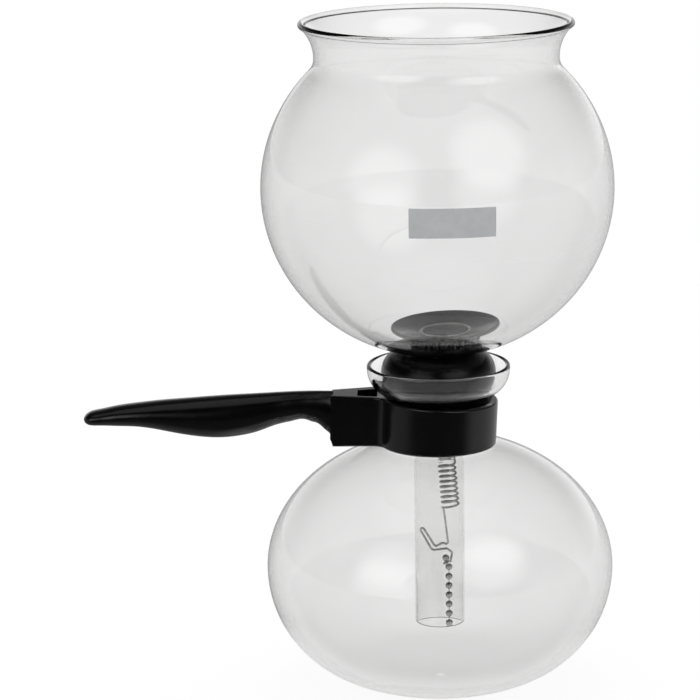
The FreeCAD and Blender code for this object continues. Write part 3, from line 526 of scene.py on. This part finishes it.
def gasket():
    """Plug, seat arc round the lip's roll, bulge, dome, top scooped to the globe, and the stem's bore.

    The side from seat to bulge is the parabola through its two ends and the belly between them.
    """
    bore, top_z = STEM_R + 0.05, BULGE_Z + DOME
    seat = arc((NECK_R + LIP_LOWER, LIP_START), LIP_LOWER + GLASS + FIT, 180.0, 130.0, 16)
    start, end = seat[-1], np.array([BULGE_R, BULGE_Z])
    belly = np.array([0.35 * start[0] + 0.65 * end[0], 0.5 * (start[1] + end[1])])
    share = np.linspace(0.0, 1.0, 14)[:, None]
    side = ((1 - share) * (1 - 2 * share) * start + 4 * share * (1 - share) * belly
            + share * (2 * share - 1) * end)
    profile = joined(
        arc((PLUG_R - PLUG_EDGE, PLUG_FOOT + PLUG_EDGE), PLUG_EDGE, -90.0, 0.0, 6), seat, side,
        arc((BULGE_R - DOME, BULGE_Z), DOME, 0.0, 90.0, 28),
        run((BULGE_R - DOME, top_z), (bore + BORE_EDGE, top_z), 5),
        arc((bore + BORE_EDGE, top_z - BORE_EDGE), BORE_EDGE, 90.0, 180.0, 6),
        run((bore, top_z - BORE_EDGE), (bore, PLUG_FOOT + LEAD_IN), 12),
        run((bore + 1.0, PLUG_FOOT), (PLUG_R - PLUG_EDGE, PLUG_FOOT), 3))
    points = turned(joined(scooped(profile))[:-1], 160)
    return put("gasket_rubber", points, grid_faces(*points.shape[:2], loop_rows=True), "gasket", ["gasket"],
               RUBBER_FINISH, 40.0)


gasket()

# %% [markdown]
# ## The filter
# The filter is a dished plastic plate with a well in the middle and a crown of thin strainer fins
# below. It only lies in the round bottom of the globe, a little off centre, so all of it is leaned
# about the middle of the sphere that fits the bottom.

# %% Filter
BOWL_R = (GLOBE_R - GLASS) ** 2 / (GLOBE_H - GLASS)
BOWL_Z = GLOBE_Z - GLOBE_H + GLASS + BOWL_R
FILTER_R, FILTER_TOP, FILTER_DISH, FILTER_EDGE = 24.8, 167.4, 3.2, 0.9
WELL_R, WELL_DEPTH, RING_R, RING_H, FILTER_WALL = 10.2, 2.5, 12.0, 0.6, 1.7
HUB_R, HUB_FOOT, DISH_R = 4.4, 154.5, FILTER_R - FILTER_EDGE


def leaned(points, x_deg=1.4, y_deg=-2.64):
    """Turn points about the bowl's centre, first about X and then about Y."""
    a, b = math.radians(x_deg), math.radians(y_deg)
    about_x = np.array([[1, 0, 0], [0, math.cos(a), -math.sin(a)], [0, math.sin(a), math.cos(a)]])
    about_y = np.array([[math.cos(b), 0, math.sin(b)], [0, 1, 0], [-math.sin(b), 0, math.cos(b)]])
    centre = BOWL_Z * Z
    return (points - centre) @ (about_y @ about_x).T + centre


def filter_plate():
    """Hub, underside, rounded rim, dished top, bead round the well, and the well's floor."""
    top, ring, edge = FILTER_TOP, FILTER_TOP - FILTER_DISH, FILTER_EDGE
    floor = ring - WELL_DEPTH
    under = floor - FILTER_WALL
    swell = np.linspace(0.0, np.pi, 13)
    profile = joined(
        run((0.0, HUB_FOOT), (HUB_R - 0.5, HUB_FOOT), 3),
        arc((HUB_R - 0.5, HUB_FOOT + 0.5), 0.5, -90.0, 0.0, 6),
        run((HUB_R + 0.4, under), (RING_R - 1.2, under), 4),
        arc((RING_R - 1.2, under + 0.3), 0.3, -90.0, 0.0, 5),
        run((RING_R, ring - 2 * edge), (DISH_R, top - 2 * edge), 8),
        arc((DISH_R, top - edge), edge, -90.0, 90.0, 15),
        run((DISH_R, top), (RING_R + 0.2, ring + 0.02), 10),
        np.stack([np.linspace(RING_R, WELL_R, 13), ring + RING_H * np.sin(swell) ** 0.8], -1),
        run((WELL_R, ring), (WELL_R - 0.4, floor + 0.4), 5),
        arc((WELL_R - 0.9, floor + 0.5), 0.5, 0.0, -90.0, 6),
        run((WELL_R - 0.9, floor), (0.0, floor), 5))
    return leaned(turned(profile, 144))


def filter_fins(count=24, thick=0.9, inner=10.8, outer=15.5):
    """Upright plates on spokes: the lower edge follows the bowl 0.3 mm off, the upper one the plate."""
    r = np.linspace(inner, outer, 10)
    low = BOWL_Z - np.sqrt((BOWL_R - 0.3) ** 2 - r ** 2)
    high = FILTER_TOP - FILTER_EDGE - FILTER_DISH * np.clip((DISH_R - r) / (DISH_R - RING_R), 0.0, 1.0)
    spread = np.array([-0.5, 0.5, 0.5, -0.5]) * thick
    height = np.stack([low, low, high, high], -1)
    a = 2.0 * np.pi * np.arange(count)[:, None, None] / count
    x = r[:, None] * np.cos(a) - spread * np.sin(a)
    y = r[:, None] * np.sin(a) + spread * np.cos(a)
    return leaned(stacked(x, y, height))


def filter_disc():
    """Plate and fins in one piece."""
    plate, fins = filter_plate(), filter_fins()
    rows, columns = fins.shape[1:3]
    ends = np.array([[3, 2, 1, 0], np.arange(columns) + columns * (rows - 1)])
    one = np.concatenate([grid_faces(rows, columns), ends])
    start = plate.shape[0] * plate.shape[1] + rows * columns * np.arange(len(fins))[:, None, None]
    faces = np.concatenate([grid_faces(*plate.shape[:2]), (one + start).reshape(-1, 4)])
    points = np.concatenate([plate.reshape(-1, 3), fins.reshape(-1, 3)])
    return put("filter_plate", points, faces, "filter", ["filter_disc"], FILTER_FINISH)


filter_disc()

# %% [markdown]
# ## The wire
# One steel wire hangs from the filter: a coil, a straight leg, a hairpin hook that catches the
# stem's foot, and an eye for the chain. A wire is a circle carried along a line. At each point the
# circle needs one direction across the line. Round the coil that is the direction away from the
# coil's axis, and in the flat hook it is the direction square to the hook.

# %% Wire helpers
WIRE_R, COIL_R, COIL_PITCH, COIL_TURNS = 0.5, 3.7, 2.35, 18.65
COIL_FOOT, COIL_LEAN, COIL_BEND = np.array([4.9, -1.3, 84.0]), math.radians(4.3), 1.5
LEG_TOP = np.array([2.2, 0.0, 80.6])
LEG_FOOT = np.array([3.95, 0.0, 65.6])
COIL_AXIS = np.array([-math.sin(COIL_LEAN), 0.0, math.cos(COIL_LEAN)])
COIL_SIDE = np.array([math.cos(COIL_LEAN), 0.0, math.sin(COIL_LEAN)])


def unit(v):
    """Vectors divided by their lengths."""
    return v / np.linalg.norm(v, axis=-1, keepdims=True)


def eased(p, heading, q, end_heading, count=24):
    """Smooth bend from p to q: the cubic that leaves and arrives along the two headings."""
    s = np.linspace(0.0, 1.0, count)[:, None]
    pull = 1.25 * np.linalg.norm(q - p)
    return ((1 + 2 * s) * (1 - s) ** 2 * p + s * s * (3 - 2 * s) * q
            + s * (1 - s) * pull * ((1 - s) * heading - s * end_heading))


def wire(path, across, radius=WIRE_R, sides=14):
    """Rings round a path: radius (cos a n + sin a b), n the part of across square to the path.

    The ends are closed by rings that shrink to the middle.
    """
    t = unit(np.gradient(path, axis=0))
    n = unit(across - np.sum(across * t, -1, keepdims=True) * t)
    b = np.cross(t, n)
    a = 2.0 * np.pi * np.arange(sides) / sides
    circle = np.cos(a)[:, None] * n[:, None] + np.sin(a)[:, None] * b[:, None]
    rings = path[:, None] + radius * circle
    return np.concatenate([np.repeat(path[:1, None], sides, 1), rings, np.repeat(path[-1:, None], sides, 1)])

# %% [markdown]
# The coil climbs round a leaning axis. Its lower end bends into the straight leg, and its upper end
# into the hub of the filter.

# %% Spring
def coil(turns):
    """Helix about the leaning axis, and its heading, counted in turns up from its left side."""
    a = np.pi + 2.0 * np.pi * turns[:, None]
    climb = COIL_AXIS * COIL_PITCH * turns[:, None]
    point = COIL_FOOT + climb + COIL_R * (COIL_SIDE * np.cos(a) + Y * np.sin(a))
    along = 2.0 * np.pi * COIL_R * (Y * np.cos(a) - COIL_SIDE * np.sin(a)) + COIL_AXIS * COIL_PITCH
    return point, unit(along)


def spring():
    """Leg, bend into the coil, the coil, and a bend up to the filter's hub."""
    leg = unit(LEG_TOP - LEG_FOOT)
    leg_end = LEG_TOP + 2.0 * WIRE_R * leg
    turns, heading = coil(np.linspace(0.0, COIL_TURNS, 900))
    up = unit(leaned(np.array([[0.0, 0.0, 10.0]])) - leaned(np.zeros((1, 3))))[0]
    hub = leaned(np.array([[0.0, 0.0, HUB_FOOT]]))[0]
    rise = turns[-1] + COIL_BEND * (heading[-1] + up)
    top = rise + up * ((hub - rise) @ up + 0.8)
    path = joined(run(LEG_TOP, leg_end, 4), eased(leg_end, leg, turns[0], heading[0]), turns,
                  eased(turns[-1], heading[-1], rise, up), run(rise, top, 12))
    off = path - COIL_FOOT
    points = wire(path, off - (off @ COIL_AXIS)[:, None] * COIL_AXIS, sides=12)
    piece = put("coil_spring", points, grid_faces(*points.shape[:2]), None, ["filter_spring"],
                WIRE_FINISH, 60.0)
    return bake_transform(piece)


spring()

# %% [markdown]
# Below the coil the wire lies flat in one plane: down the leg, out to the hairpin and back, and over to
# the chain, where it leaves the plane and closes to an eye between the first two beads.

# %% Hook and eye
HOOK_TIP, HOOK_INNER, STRAND_GAP = np.array([-6.9, 0.0, 73.2]), np.array([-1.9, 0.0, 64.9]), 1.65
HOOK_BEND = np.array([1.4, 0.0, 66.9])
TO_EYE = np.array([[-3.35, 0.0, 63.3], [3.3, 0.0, 64.1], [5.7, 0.0, 62.2]])
EYE_R, EYE_SWEEP = 1.5, 285.0
BEAD_PITCH = 4.44
CHAIN_LEAN = math.radians(18.0)
SECOND_BEAD = np.array([4.08, 0.0, 55.4])
FIRST_BEAD = SECOND_BEAD + BEAD_PITCH * np.array([-math.sin(CHAIN_LEAN), 0.0, math.cos(CHAIN_LEAN)])


def bent(points, radii):
    """Straight runs through points, each corner rounded: an arc that touches both runs."""
    line = [points[:1]]
    for before, corner, after, radius in zip(points, points[1:], points[2:], radii):
        into, out = unit(corner - before), unit(after - corner)
        angle = math.acos(np.clip(into @ out, -1.0, 1.0))
        start = corner - into * radius * math.tan(0.5 * angle)
        side = unit(out - (out @ into) * into)
        a = np.linspace(0.0, angle, 12)[:, None]
        line += [run(line[-1][-1], start, 8), start + radius * (np.sin(a) * into + (1.0 - np.cos(a)) * side)]
    return joined(*line, run(line[-1][-1], points[-1], 8))


def hook():
    """Leg and inner strand, hairpin tip, outer strand, and an eye of most of a turn round the chain."""
    rise = unit(HOOK_TIP - HOOK_INNER)
    left = np.cross(rise, Y)
    back = HOOK_TIP + STRAND_GAP * left
    a = np.linspace(0.0, np.pi, 16)[:, None]
    turn = HOOK_TIP + 0.5 * STRAND_GAP * (left + np.sin(a) * rise - np.cos(a) * left)
    first = bent(np.array([LEG_TOP, LEG_FOOT, HOOK_BEND, HOOK_INNER, HOOK_TIP]), (0.95, 1.4, 1.2))
    middle = 0.5 * (FIRST_BEAD + SECOND_BEAD)
    drop = unit(SECOND_BEAD - FIRST_BEAD)
    out = np.cross(drop, Y)
    ring_start = middle + EYE_R * out
    over = ring_start + 0.6 * out - 1.3 * drop - 1.1 * Y
    second = bent(np.array([back, *TO_EYE, over]), (1.8, 1.4, 1.4))
    ease = eased(over, unit(over - TO_EYE[-1]), ring_start, Y)
    a = np.radians(np.linspace(0.0, EYE_SWEEP, 60))[:, None]
    eye = middle + EYE_R * (np.cos(a) * out + np.sin(a) * Y)
    flat_part = joined(first, turn, second)
    path = joined(flat_part, ease, eye)
    number = np.arange(len(path))[:, None] - len(flat_part)
    share = np.clip((number + 8.0) / 8.0, 0.0, 1.0)
    across = (1.0 - share) * Y + share * np.where(number < len(ease) - 1, out, path - middle)
    points = wire(path, across)
    return put("hook_wire", points, grid_faces(*points.shape[:2]), "hook", ["spring_hook"],
               WIRE_FINISH, 60.0)


hook()

# %% [markdown]
# ## The chain
# Ball chain is hollow beads on dumbbell pins: each pin has a head inside two neighbouring beads. Both
# are turned pieces, drawn once upright and then set along the chain. The first bead leans towards the
# eye and the second takes half of that lean.

# %% Chain
BEAD_R, BEAD_WALL, HOLE_R, PIN_R, HEAD_R, HEAD_OUT = 1.6, 0.25, 0.55, 0.22, 0.62, 0.75


def bead():
    """Outer sphere up, through the hole's edge, inner sphere down: a loop turned about the chain."""
    inner = BEAD_R - BEAD_WALL
    outer_deg, inner_deg = math.degrees(math.acos(HOLE_R / BEAD_R)), math.degrees(math.acos(HOLE_R / inner))
    return turned(joined(arc((0, 0), BEAD_R, -outer_deg, outer_deg, 40),
                         arc((0, 0), inner, inner_deg, -inner_deg, 24)), 48)


def pin():
    """Head, thin shank and head of a dumbbell, from the axis below to the axis above."""
    head = 0.5 * BEAD_PITCH - HEAD_OUT
    edge = math.degrees(math.acos(PIN_R / HEAD_R))
    return turned(joined(arc((0, -head), HEAD_R, -90.0, edge, 16),
                         arc((0, head), HEAD_R, -edge, 90.0, 16)), 32)


def hung(points, centre, lean):
    """Lean upright points towards -X and set them at their centre."""
    turn = np.array([[math.cos(lean), 0, -math.sin(lean)], [0, 1, 0], [math.sin(lean), 0, math.cos(lean)]])
    return points @ turn.T + centre


def chain():
    """Beads and pins down the chain; the top three pieces swing on the eye, the rest on the second bead."""
    centres = [FIRST_BEAD] + [SECOND_BEAD - BEAD_PITCH * k * Z for k in range(7)]
    ball, dumbbell = bead(), pin()
    for k, centre in enumerate(centres):
        points = hung(ball, centre, CHAIN_LEAN * max(0.0, 1.0 - 0.5 * k))
        put("bead_%d" % (k + 1), points, grid_faces(*points.shape[:2], loop_rows=True),
            "chain_top" if k < 2 else "chain_tail", ["chain_bead_%d" % (k + 1)], CHAIN_FINISH)
    for k in range(7):
        points = hung(dumbbell, 0.5 * (centres[k] + centres[k + 1]), CHAIN_LEAN if k == 0 else 0.0)
        put("pin_%d" % (k + 1), points, grid_faces(*points.shape[:2]),
            "chain_top" if k == 0 else "chain_tail", ["chain_link_%d" % (k + 1)], CHAIN_FINISH)


chain()

# %% [markdown]
# ## Handle, strap, screw and nut
# The handle is one moulding: grip, root with its open pocket, and the front half of the collar. The
# strap behind and the screw and square nut close the collar on the neck. Their CAD shapes are smooth
# and exact, so they stay, and only get their finishes.

# %% Handle finishes
for node, look in (("handle", PLASTIC_FINISH), ("collar_strap", PLASTIC_FINISH),
                   ("clamp_screw", SCREW_FINISH), ("clamp_nut", SCREW_FINISH)):
    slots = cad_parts[node].data.materials
    slots.clear()
    slots.append(look)
    print("%-16s %s" % (node, look.name))

# %% [markdown]
# ## Camera
# The photograph was taken with a long lens from a little above. Its place and turn were worked out
# from the rims, the outlines and the axis of the glass: the view runs slightly to the left, and the
# frame is tipped by less than a degree.

# %% Camera
def set_camera(place, pitch_deg, yaw_deg, roll_deg, lens):
    """Camera matrix from a view line (pitch down, yaw) and a roll about it."""
    p, y, r = np.radians([pitch_deg, yaw_deg, roll_deg])
    ahead = np.array([math.sin(y) * math.cos(p), math.cos(y) * math.cos(p), -math.sin(p)])
    right = np.array([math.cos(y), -math.sin(y), 0.0])
    up = np.cross(right, ahead)
    right, up = right * math.cos(r) + up * math.sin(r), up * math.cos(r) - right * math.sin(r)
    data = bpy.data.cameras.new("camera")
    data.sensor_width, data.lens = 36.0, lens
    data.clip_end = 50.0
    camera = bpy.data.objects.new("camera", data)
    matrix = np.eye(4)
    matrix[:3, 0], matrix[:3, 1], matrix[:3, 2], matrix[:3, 3] = right, up, -ahead, np.array(place) * 0.001
    camera.matrix_world = Matrix(matrix.tolist())
    bpy.context.scene.collection.objects.link(camera)
    bpy.context.scene.camera = camera
    print("camera", place, "mm, lens", lens, "mm")


set_camera((0.0, -1388.0, 483.27), 13.2447, -1.6381, -0.7688, 163.09)

# %% [markdown]
# ## Stage and light
# The object stands on a wide pale sheet in a plain studio. What clear glass and black plastic look
# like depends on what they mirror, so the room is drawn by direction: dark in front where the camera
# stands, half bright to the sides, a little more so on the right, white low down behind, darker above
# that, with a broad light overhead and two soft lights in front. The eye sees the sheet and the room
# as plain white, and the light that falls on the object is even.

# %% Directions of the room
def toward(tree, looked, direction):
    """Cosine between the looked-at direction and a fixed one."""
    node = tree.nodes.new("ShaderNodeVectorMath")
    node.operation = "DOT_PRODUCT"
    node.inputs[1].default_value = unit(np.array(direction, float)).tolist()
    tree.links.new(looked, node.inputs[0])
    return node.outputs["Value"]


def sides(tree, looked, left=0.26, right=0.52):
    """Brightness round the room: none in front, left to right from one level to the other elsewhere."""
    across = climbing(tree, toward(tree, looked, X), -0.6, 0.6, left, right)
    return level(tree, "MULTIPLY", climbing(tree, toward(tree, looked, Y), -0.75, -0.3, 0.015, 1.0), across)

# %% [markdown]
# The sheet under the object is white to the eye and through the glass, and keeps a soft shadow.

# %% Floor
def floor(size=9.0, share=0.94):
    """A flat sheet that glows white to the eye and through glass.

    In mirror images it is white near the object and like the room's sides farther out. Near the object
    the last few hundredths of its brightness are lit, so that it keeps a soft shadow.
    """
    mesh = bpy.data.meshes.new("floor")
    corners = [(-size, -size, 0), (size, -size, 0), (size, size, 0), (-size, size, 0)]
    mesh.from_pydata(corners, [], [(0, 1, 2, 3)])
    sheet = bpy.data.objects.new("floor", mesh)
    bpy.context.scene.collection.objects.link(sheet)
    material, tree, shader = finish("pale_floor", Roughness=0.9, Base_Color=(0.9, 0.9, 0.9, 1.0))
    shader.inputs["Specular IOR Level"].default_value = 0.0
    place = tree.nodes.new("ShaderNodeTexCoord")
    far, way = [tree.nodes.new("ShaderNodeVectorMath") for _ in range(2)]
    far.operation, way.operation = "LENGTH", "NORMALIZE"
    tree.links.new(place.outputs["Object"], far.inputs[0])
    tree.links.new(place.outputs["Object"], way.inputs[0])
    path = tree.nodes.new("ShaderNodeLightPath")
    seen = level(tree, "MAXIMUM", path.outputs["Is Camera Ray"], path.outputs["Is Transmission Ray"])
    any_look = level(tree, "MAXIMUM", seen, path.outputs["Is Glossy Ray"])
    glow = tree.nodes.new("ShaderNodeEmission")
    mix = tree.nodes.new("ShaderNodeMixShader")
    mirrored = level(tree, "MAXIMUM", sides(tree, way.outputs["Vector"]),
                     climbing(tree, far.outputs["Value"], 0.07, 0.14, 0.9, 0.0))
    tree.links.new(level(tree, "MAXIMUM", seen, mirrored), glow.inputs["Strength"])
    whole = climbing(tree, far.outputs["Value"], 0.2, 0.9, share, 1.0)
    tree.links.new(level(tree, "MULTIPLY", any_look, whole), mix.inputs["Fac"])
    tree.links.new(shader.outputs["BSDF"], mix.inputs[1])
    tree.links.new(glow.outputs["Emission"], mix.inputs[2])
    tree.links.new(mix.outputs["Shader"], tree.nodes["Material Output"].inputs["Surface"])
    mesh.materials.append(material)
    print("floor %.0f m wide" % (2.0 * size))


floor()

# %% [markdown]
# The room is a world that depends on the direction looked in. Mirror images and bent light see its
# walls, its overhead light and its two soft lights, and the light that it sheds is an even grey.

# %% Room
SOFT_LIGHTS = ((-0.58, -0.78, 0.23), (0.535, -0.667, 0.52))


def room(strength=1.4):
    """World by direction for mirror images and glass, white for the eye, even for the light it sheds."""
    world = bpy.data.worlds.new("studio")
    bpy.context.scene.world = world
    world.use_nodes = True
    tree = world.node_tree
    looked = tree.nodes.new("ShaderNodeTexCoord").outputs["Generated"]
    back = climbing(tree, toward(tree, looked, Y), 0.55, 0.95, 0.0, 0.62)
    height = toward(tree, looked, Z)
    walls = level(tree, "MULTIPLY", level(tree, "ADD", sides(tree, looked), back),
                  climbing(tree, height, 0.0, 0.4, 1.0, 0.08))
    glow = level(tree, "ADD", walls, climbing(tree, height, 0.8, 0.96, 0.0, 0.4))
    for direction in SOFT_LIGHTS:
        near = climbing(tree, toward(tree, looked, direction), 0.86, 0.985, 0.0, strength)
        glow = level(tree, "ADD", glow, near)
    path = tree.nodes.new("ShaderNodeLightPath")
    seen, shed, white = (tree.nodes["Background"], tree.nodes.new("ShaderNodeBackground"),
                         tree.nodes.new("ShaderNodeBackground"))
    seen.inputs["Color"].default_value = (1.0, 1.0, 1.0, 1.0)
    tree.links.new(glow, seen.inputs["Strength"])
    shed.inputs["Color"].default_value = (0.8, 0.8, 0.8, 1.0)
    white.inputs["Color"].default_value = (1.0, 1.0, 1.0, 1.0)
    lit, looked_at = tree.nodes.new("ShaderNodeMixShader"), tree.nodes.new("ShaderNodeMixShader")
    tree.links.new(path.outputs["Is Diffuse Ray"], lit.inputs["Fac"])
    tree.links.new(seen.outputs[0], lit.inputs[1])
    tree.links.new(shed.outputs[0], lit.inputs[2])
    tree.links.new(path.outputs["Is Camera Ray"], looked_at.inputs["Fac"])
    tree.links.new(lit.outputs[0], looked_at.inputs[1])
    tree.links.new(white.outputs[0], looked_at.inputs[2])
    tree.links.new(looked_at.outputs[0], tree.nodes["World Output"].inputs["Surface"])
    print("room of", len(tree.nodes), "nodes")


room()

# %% [markdown]
# Three weak panels give the light a side, so that round forms are modelled and the shadow lies under
# the object. They don't show in mirror images.

# %% Lamps
def panel(name, place, aim, width, height, watts):
    """A soft oblong panel that shines from place towards aim; mirrors show the room in its stead."""
    lamp = bpy.data.lights.new(name, "AREA")
    lamp.shape, lamp.size, lamp.size_y, lamp.energy = "RECTANGLE", width, height, watts
    stand = bpy.data.objects.new(name, lamp)
    stand.visible_glossy = False
    stand.visible_transmission = False
    back = unit(np.array(place) - np.array(aim))
    side = unit(np.cross(Z, back))
    matrix = np.eye(4)
    matrix[:3, 0], matrix[:3, 1], matrix[:3, 2], matrix[:3, 3] = side, np.cross(back, side), back, place
    stand.matrix_world = Matrix(matrix.tolist())
    bpy.context.scene.collection.objects.link(stand)
    print("%-16s %4.1f W" % (name, watts))


panel("panel_left", (-1.3, -0.9, 0.9), (0.0, 0.0, 0.15), 0.8, 0.9, 10.0)
panel("panel_right", (1.3, -0.9, 0.8), (0.0, 0.0, 0.15), 0.8, 0.9, 10.0)
panel("panel_top", (0.0, 0.3, 1.6), (0.0, 0.0, 0.15), 0.9, 0.7, 10.0)

# %% [markdown]
# ## View
# The picture is drawn with the Standard view transform.

# %% Finish
bpy.context.scene.view_settings.view_transform = "Standard"
